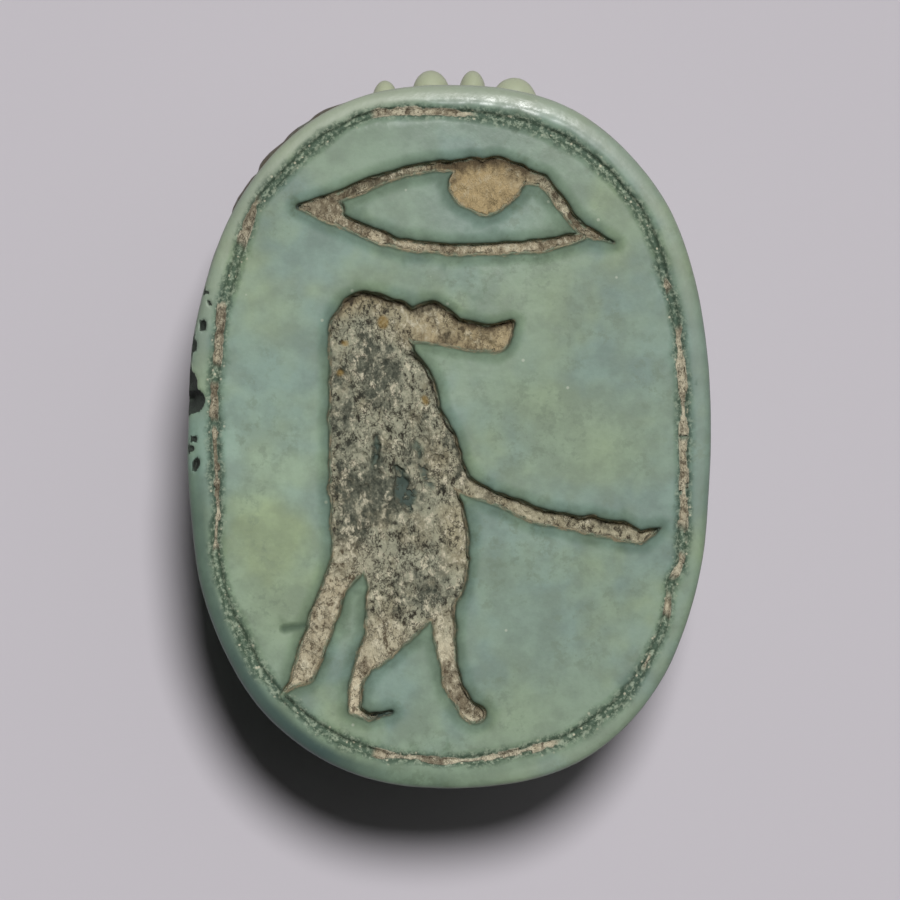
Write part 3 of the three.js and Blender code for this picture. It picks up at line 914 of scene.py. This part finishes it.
class Shader:
    """Short ways to build a material's nodes."""

    def __init__(self, name):
        self.material = bpy.data.materials.new(name)
        self.material.use_nodes = True
        self.tree = self.material.node_tree
        self.tree.nodes.clear()
        texture = self.node("ShaderNodeTexCoord")
        scaled = self.node("ShaderNodeVectorMath", operation="SCALE")
        self.put(scaled.inputs[0], texture.outputs["Object"])
        scaled.inputs["Scale"].default_value = 1 / MM
        self.place = scaled.outputs[0]

    def node(self, kind, **settings):
        made = self.tree.nodes.new(kind)
        for name, value in settings.items():
            setattr(made, name, value)
        return made

    def put(self, socket, value):
        if isinstance(value, bpy.types.NodeSocket):
            self.tree.links.new(value, socket)
        else:
            socket.default_value = value

    def attribute(self, name):
        return self.node("ShaderNodeAttribute", attribute_name=name).outputs["Fac"]

    def math(self, operation, a, b=0.0, clamp=False):
        made = self.node("ShaderNodeMath", operation=operation, use_clamp=clamp)
        self.put(made.inputs[0], a)
        self.put(made.inputs[1], b)
        return made.outputs[0]

    def ramp(self, value, low, high, start=0.0, end=1.0):
        made = self.node("ShaderNodeMapRange", interpolation_type="SMOOTHSTEP")
        for name, number in (("From Min", low), ("From Max", high), ("To Min", start), ("To Max", end)):
            made.inputs[name].default_value = number
        self.put(made.inputs["Value"], value)
        return made.outputs[0]

    def mix(self, factor, a, b, blend="MIX"):
        made = self.node("ShaderNodeMix", data_type="RGBA", blend_type=blend)
        self.put(made.inputs["Factor"], factor)
        self.put(made.inputs[6], a)
        self.put(made.inputs[7], b)
        return made.outputs[2]

    def blend(self, factor, a, b):
        made = self.node("ShaderNodeMix", data_type="FLOAT")
        self.put(made.inputs[0], factor)
        self.put(made.inputs[2], a)
        self.put(made.inputs[3], b)
        return made.outputs[0]

    def grey(self, value):
        """A colour whose three parts are one number."""
        made = self.node("ShaderNodeCombineColor")
        for socket in made.inputs[:3]:
            self.put(socket, value)
        return made.outputs[0]

    def noise(self, per_mm, detail=2.0, roughness=0.5, seed=0.0, place=None):
        """Noise from 0 to 1, with so many lumps to the millimetre."""
        made = self.node("ShaderNodeTexNoise", noise_dimensions="4D")
        self.put(made.inputs["Vector"], place or self.place)
        for name, number in (("Scale", per_mm), ("Detail", detail), ("Roughness", roughness), ("W", seed)):
            made.inputs[name].default_value = number
        return made.outputs["Fac"]

    def streaks(self):
        """The place, turned and stretched the way that the earth's streaks run."""
        made = self.node("ShaderNodeMapping", vector_type="POINT")
        self.put(made.inputs["Vector"], self.place)
        made.inputs["Rotation"].default_value = (0, 0, -math.radians(STREAK_LEAN))
        made.inputs["Scale"].default_value = (1, STREAK_SQUASH, 1)
        return made.outputs[0]

    def dots(self, per_mm, radius):
        """1 at small dots spread over the stone."""
        made = self.node("ShaderNodeTexVoronoi")
        self.put(made.inputs["Vector"], self.place)
        made.inputs["Scale"].default_value = per_mm
        return self.ramp(made.outputs["Distance"], radius * per_mm, radius * per_mm * 0.5)


GLAZE = srgb(118, 138, 115)
GLAZE_BLUE = srgb(111, 134, 121)
GLAZE_OLIVE = srgb(127, 144, 107)
# Painted shade on the rim's lower left.
RIM_PAINTED_SHADE_TEAL = srgb(68, 88, 84)
GLAZE_DARK = srgb(92, 109, 86)
GLAZE_POOL = srgb(50, 68, 50)
LINE_DARK = srgb(54, 74, 58)
LINE_LIGHT = srgb(146, 157, 136)
# Pale worn glaze, and painted highlight on the rim and in glints.
GLAZE_PALE_AND_HIGHLIGHT = srgb(166, 174, 154)
TOOTH_YELLOW = srgb(176, 180, 152)
EARTH_DARK = srgb(50, 46, 36)
EARTH_SHADE = srgb(70, 75, 64)
EARTH_GREY = srgb(150, 157, 139)
EARTH_BROWN = srgb(122, 107, 78)
EARTH_TAN = srgb(218, 206, 178)
# Pale grains of earth, and painted glints on the border line.
EARTH_PALE_AND_GLINT = srgb(214, 206, 180)
EARTH_GOLD = srgb(184, 162, 120)
EARTH_OCHRE = srgb(150, 122, 62)
EARTH_UMBER = srgb(80, 67, 48)
WALL_BROWN = srgb(160, 146, 118)
WALL_OLIVE = srgb(124, 136, 114)
BARE_GLAZE = srgb(64, 78, 70)
# Painted shade for the chips, near-black and dark green.
CHIP_PAINTED_SHADE_DARK = srgb(26, 30, 26)
CHIP_PAINTED_SHADE_GREEN = srgb(66, 76, 66)
FLOOR_PALE = srgb(193, 188, 194)


def glaze_colour(s):
    """Mottled grey-green glaze that darkens where it pooled along the cuts."""
    warmth = s.attribute("warmth")
    bluer = s.math("MULTIPLY", warmth, -1.2)
    patch = s.math("ADD", s.ramp(s.noise(0.45, 3, 0.55, 1), 0.42, 0.6), bluer, True)
    colour = s.mix(patch, GLAZE, GLAZE_BLUE)
    patch = s.math("ADD", s.ramp(s.noise(0.4, 3, 0.6, 2), 0.5, 0.68, 0, 0.6), warmth, True)
    colour = s.mix(patch, colour, GLAZE_OLIVE)
    mottle = s.ramp(s.noise(1.3, 4, 0.6, 9), 0.36, 0.64, 0.84, 1.12)
    mottle = s.math("MULTIPLY", mottle, s.attribute("light"))
    colour = s.mix(1.0, colour, s.grey(mottle), "MULTIPLY")
    clumps = s.ramp(s.noise(0.6, 2, 0.5, 4), 0.44, 0.6)
    smudge = s.math("MULTIPLY", s.ramp(s.noise(4, 4, 0.65, 3), 0.5, 0.62), clumps)
    colour = s.mix(s.math("MULTIPLY", smudge, 0.45), colour, GLAZE_DARK)
    grain = s.ramp(s.noise(12, 2, 0.6, 5), 0.3, 0.7, 0.98, 1.02)
    colour = s.mix(1.0, colour, s.grey(grain), "MULTIPLY")
    # The rim's wear and painted highlight, and its painted shade in teal at the lower left.
    rim = s.attribute("rim")
    colour = s.mix(s.math("MULTIPLY", rim, 0.9, True), colour, GLAZE_PALE_AND_HIGHLIGHT)
    colour = s.mix(s.math("MULTIPLY", rim, -1.2, True), colour, RIM_PAINTED_SHADE_TEAL)
    # Painted highlight: small pale dots for glints on the glaze.
    colour = s.mix(s.math("MULTIPLY", s.dots(1.2, 0.05), 0.7), colour, GLAZE_PALE_AND_HIGHLIGHT)
    reach = s.math("MULTIPLY", s.noise(2, 4, 0.65, 6), 0.42)
    near = s.ramp(s.math("SUBTRACT", s.attribute("edge"), reach), -0.24, 0.04, 0.44, 0)
    colour = s.mix(near, colour, GLAZE_POOL)
    colour = s.mix(s.math("MULTIPLY", s.attribute("head"), 0.8), colour, TOOTH_YELLOW)
    # Browner in the hollows of the underside.
    hollow_brown = s.math("ADD", s.attribute("hollow"), s.math("MULTIPLY", s.noise(2.2, 3, 0.6, 7), 0.3))
    hollow_brown = s.math("MULTIPLY", s.ramp(hollow_brown, 0.3, 0.8), s.attribute("below"))
    # Browner on the front legs just under the plate's edge.
    leg_brown = s.math("MULTIPLY", s.attribute("leg_brown"), s.ramp(s.noise(2.2, 3, 0.6, 8), 0.3, 0.5, 0.3, 0.9))
    colour = s.mix(leg_brown, colour, EARTH_UMBER)
    return s.mix(s.math("MULTIPLY", hollow_brown, 0.85), colour, EARTH_BROWN)


def earth_colour(s):
    """Grains of grey, brown and tan earth, with painted shade along the cuts' upper edges."""
    tan = s.attribute("tan")
    gold = s.attribute("gold")
    streaks = s.streaks()
    body = s.mix(tan, EARTH_GREY, EARTH_TAN)
    body = s.mix(gold, body, EARTH_GOLD)
    patch = s.ramp(s.noise(1.6, 4, 0.65, 13, streaks), 0.46, 0.62)
    body = s.mix(s.math("MULTIPLY", patch, s.ramp(gold, 0.2, 0.7, 0.4, 0.55)), body, EARTH_BROWN)
    calm = s.math("MULTIPLY", s.ramp(tan, 0.1, 0.8, 1.0, 0.8), s.ramp(gold, 0.5, 1.0, 1.0, 0.4))
    crumbs = s.noise(CRUMBS_PER_MM, 5, 0.68, 11, streaks)
    light_patch = s.ramp(s.noise(2.2, 3, 0.6, 15, streaks), 0.36, 0.56, 0.3, 1)
    light = s.math("MULTIPLY", s.ramp(crumbs, 0.51, 0.62), light_patch)
    light = s.math("MULTIPLY", light, s.ramp(gold, 0.3, 1.0, 1.0, 0.3))
    colour = s.mix(light, body, EARTH_PALE_AND_GLINT)
    crack = s.math("ABSOLUTE", s.math("SUBTRACT", s.noise(4, 4, 0.7, 16, streaks), 0.5))
    cracked = s.ramp(s.noise(1.2, 2, 0.5, 17), 0.4, 0.55, 0.2, 0.9)
    crack = s.math("MULTIPLY", s.ramp(crack, 0.035, 0.0), cracked)
    colour = s.mix(s.math("MULTIPLY", crack, calm), colour, EARTH_DARK)
    pits = s.math("MULTIPLY", s.ramp(crumbs, 0.47, 0.37), calm)
    browner = s.ramp(tan, 0.15, 0.5)
    colour = s.mix(pits, colour, s.mix(browner, EARTH_DARK, EARTH_UMBER))
    dark = s.ramp(s.noise(0.9, 4, 0.62, 14, streaks), 0.48, 0.58)
    dark = s.math("MULTIPLY", dark, s.ramp(crumbs, 0.66, 0.46))
    dark = s.math("MULTIPLY", s.math("MULTIPLY", dark, calm), 0.8)
    colour = s.mix(dark, colour, s.mix(browner, EARTH_SHADE, EARTH_UMBER))
    # Painted shade: the earth turns umber near the cut's edge, most where a wall above it stands against
    # the light.
    ragged = s.math("MULTIPLY", s.math("SUBTRACT", s.noise(3.5, 4, 0.65, 18, streaks), 0.5), 0.5)
    ragged = s.math("ADD", ragged, s.math("MULTIPLY", s.math("SUBTRACT", gold, 1.0), 0.18))
    painted_wall_shade = s.ramp(s.math("ADD", s.attribute("edge"), ragged), -0.36, -0.12)
    painted_wall_shade = s.math("MULTIPLY", painted_wall_shade, s.ramp(gold, 0.1, 0.7, 0.5, 0.9))
    painted_wall_shade = s.math("MULTIPLY", painted_wall_shade, s.ramp(s.attribute("shaded"), 0, 1, 0.12, 1))
    colour = s.mix(painted_wall_shade, colour, EARTH_UMBER)
    return s.mix(s.math("MULTIPLY", s.attribute("ochre"), 0.7), colour, EARTH_OCHRE)


def line_colour(s):
    """Dark glaze in the border line, with light flecks and painted glints."""
    colour = s.mix(s.ramp(s.noise(9, 4, 0.7, 25), 0.46, 0.62), LINE_DARK, LINE_LIGHT)
    # Painted highlight: small pale dots for glints along the line.
    return s.mix(s.math("MULTIPLY", s.dots(5, 0.04), 0.75), colour, EARTH_PALE_AND_GLINT)


def fine_bumps(s, rough):
    """Crumbs in the earth and slight waves in the glaze, each too small for the mesh."""
    made = s.node("ShaderNodeBump")
    made.inputs["Distance"].default_value = CRUMB_HEIGHT * MM
    waves = s.math("MULTIPLY", s.noise(3, 4, 0.6, 31), s.ramp(s.attribute("rim"), 0.1, 0.5, 0.035, 0.12))
    crumbs = s.noise(CRUMBS_PER_MM, 5, 0.68, 11, s.streaks())
    s.put(made.inputs["Height"], s.blend(rough, waves, crumbs))
    return made.outputs[0]


def stone_material():
    """Glaze on the stone, earth in its cuts, and painted shade in its chips."""
    s = Shader("glazed_steatite")
    edge = s.attribute("edge")
    jitter = s.math("MULTIPLY", s.math("SUBTRACT", s.noise(6, 4, 0.65, 21), 0.5), 0.2)
    inside = s.math("ADD", edge, jitter)
    wall = s.ramp(inside, 0.0, -0.06)
    earth = s.ramp(inside, -0.05, -0.11)
    line = s.attribute("line")
    speckle = s.ramp(s.noise(4, 4, 0.65, 24), 0.36, 0.64, -0.4, 0.4)
    line_dark = s.ramp(s.math("ADD", line, speckle), -1.3, 0.35, 0, 0.82)
    patches = s.ramp(s.noise(1.7, 3, 0.6, 26), 0.38, 0.58, -0.35, 0.35)
    line_earth = s.ramp(s.math("ADD", line, patches), 0.2, 0.5)
    line_earth = s.math("MULTIPLY", line_earth, s.attribute("line_earth"))
    chip = s.attribute("chip")
    colour = s.mix(line_dark, glaze_colour(s), line_colour(s))
    colour = s.mix(s.math("MULTIPLY", s.attribute("nick"), 0.7), colour, LINE_DARK)
    wall_colour = s.mix(s.ramp(s.noise(2.5, 4, 0.65, 22), 0.42, 0.6), WALL_OLIVE, WALL_BROWN)
    colour = s.mix(wall, colour, wall_colour)
    bare = s.math("MULTIPLY", s.attribute("bare"), s.ramp(s.noise(5, 4, 0.65, 28), 0.6, 0.48, 0.2, 1))
    earth = s.math("MULTIPLY", earth, s.math("SUBTRACT", 1.0, bare))
    bare = s.math("MULTIPLY", bare, s.ramp(inside, 0.0, -0.05))
    earth = s.math("MAXIMUM", earth, line_earth)
    colour = s.mix(earth, colour, earth_colour(s))
    colour = s.mix(bare, colour, BARE_GLAZE)
    # Painted shade: the chips are coloured near-black and dark green for the shadow that lies in them.
    colour = s.mix(chip, colour, s.mix(s.noise(2.5, 3, 0.6, 27), CHIP_PAINTED_SHADE_DARK, CHIP_PAINTED_SHADE_GREEN))
    rough = s.math("MAXIMUM", earth, chip)
    worn = s.math("MAXIMUM", s.ramp(edge, 0.32, 0.1), s.ramp(line, -1.6, -0.4))
    worn = s.math("MAXIMUM", s.math("MAXIMUM", worn, bare), s.attribute("nick"))
    surface = s.node("ShaderNodeBsdfPrincipled")
    s.put(surface.inputs["Base Color"], colour)
    polish = s.ramp(s.noise(3.5, 4, 0.65, 32), 0.4, 0.62, 0.3, 0.46)
    polish = s.blend(s.attribute("gloss"), 0.5, polish)
    s.put(surface.inputs["Roughness"], s.blend(rough, s.blend(worn, polish, 0.8), 0.95))
    s.put(surface.inputs["Normal"], fine_bumps(s, rough))
    output = s.node("ShaderNodeOutputMaterial")
    s.put(output.inputs["Surface"], surface.outputs[0])
    return s.material


def make_floor():
    size = FLOOR_HALF_SIZE
    corners = [(-size, -size, 0), (size, -size, 0), (size, size, 0), (-size, size, 0)]
    mesh = bpy.data.meshes.new("floor")
    mesh.from_pydata(corners, [], [(0, 1, 2, 3)])
    floor = bpy.data.objects.new("floor", mesh)
    bpy.context.scene.collection.objects.link(floor)
    material = bpy.data.materials.new("floor")
    material.use_nodes = True
    surface = material.node_tree.nodes["Principled BSDF"]
    surface.inputs["Base Color"].default_value = FLOOR_PALE
    surface.inputs["Roughness"].default_value = 0.9
    mesh.materials.append(material)


def make_sun(name, energy, angle, azimuth, height):
    """A distant light. The azimuth is clockwise from the head end, in degrees like the height."""
    light = bpy.data.lights.new(name, "SUN")
    light.energy = energy
    light.angle = math.radians(angle)
    sun = bpy.data.objects.new(name, light)
    way = math.radians(azimuth)
    height = math.radians(height)
    level = math.cos(height)
    towards = Vector((level * math.sin(way), level * math.cos(way), math.sin(height)))
    sun.rotation_mode = "QUATERNION"
    sun.rotation_quaternion = towards.to_track_quat("Z", "Y")
    bpy.context.scene.collection.objects.link(sun)


def make_lights():
    for sun in SUNS:
        make_sun(*sun)
    world = bpy.data.worlds.new("world")
    world.use_nodes = True
    background = world.node_tree.nodes["Background"]
    background.inputs["Color"].default_value = (1, 1, 1, 1)
    background.inputs["Strength"].default_value = WORLD_STRENGTH
    bpy.context.scene.world = world


def make_camera():
    """Nearly straight above the base, the head end up."""
    lean = math.radians(CAMERA_LEAN)
    lean_way = math.radians(CAMERA_LEAN_WAY)
    data = bpy.data.cameras.new("camera")
    data.sensor_width = SENSOR_WIDTH
    data.lens = LENS
    distance = VIEW_WIDTH * MM * LENS / SENSOR_WIDTH
    target = Vector((VIEW_MIDDLE[0] * MM, VIEW_MIDDLE[1] * MM, HEIGHT * MM))
    back = Vector((
        math.sin(lean) * math.cos(lean_way), math.sin(lean) * math.sin(lean_way), math.cos(lean)
    ))
    camera = bpy.data.objects.new("camera", data)
    camera.location = target + back * distance
    ahead = -back
    right = ahead.cross(Vector((0, 1, 0))).normalized()
    up = right.cross(ahead)
    camera.rotation_mode = "QUATERNION"
    camera.rotation_quaternion = Matrix((right, up, back)).transposed().to_quaternion()
    data.clip_start = 0.001
    data.clip_end = 10
    bpy.context.scene.collection.objects.link(camera)
    bpy.context.scene.camera = camera


make_camera()
make_lights()
make_floor()
stone = make_stone()
stone.data.materials.clear()
stone.data.materials.append(stone_material())
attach(stone, "root")
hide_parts("scarab")
bpy.context.scene.view_settings.view_transform = "Standard"
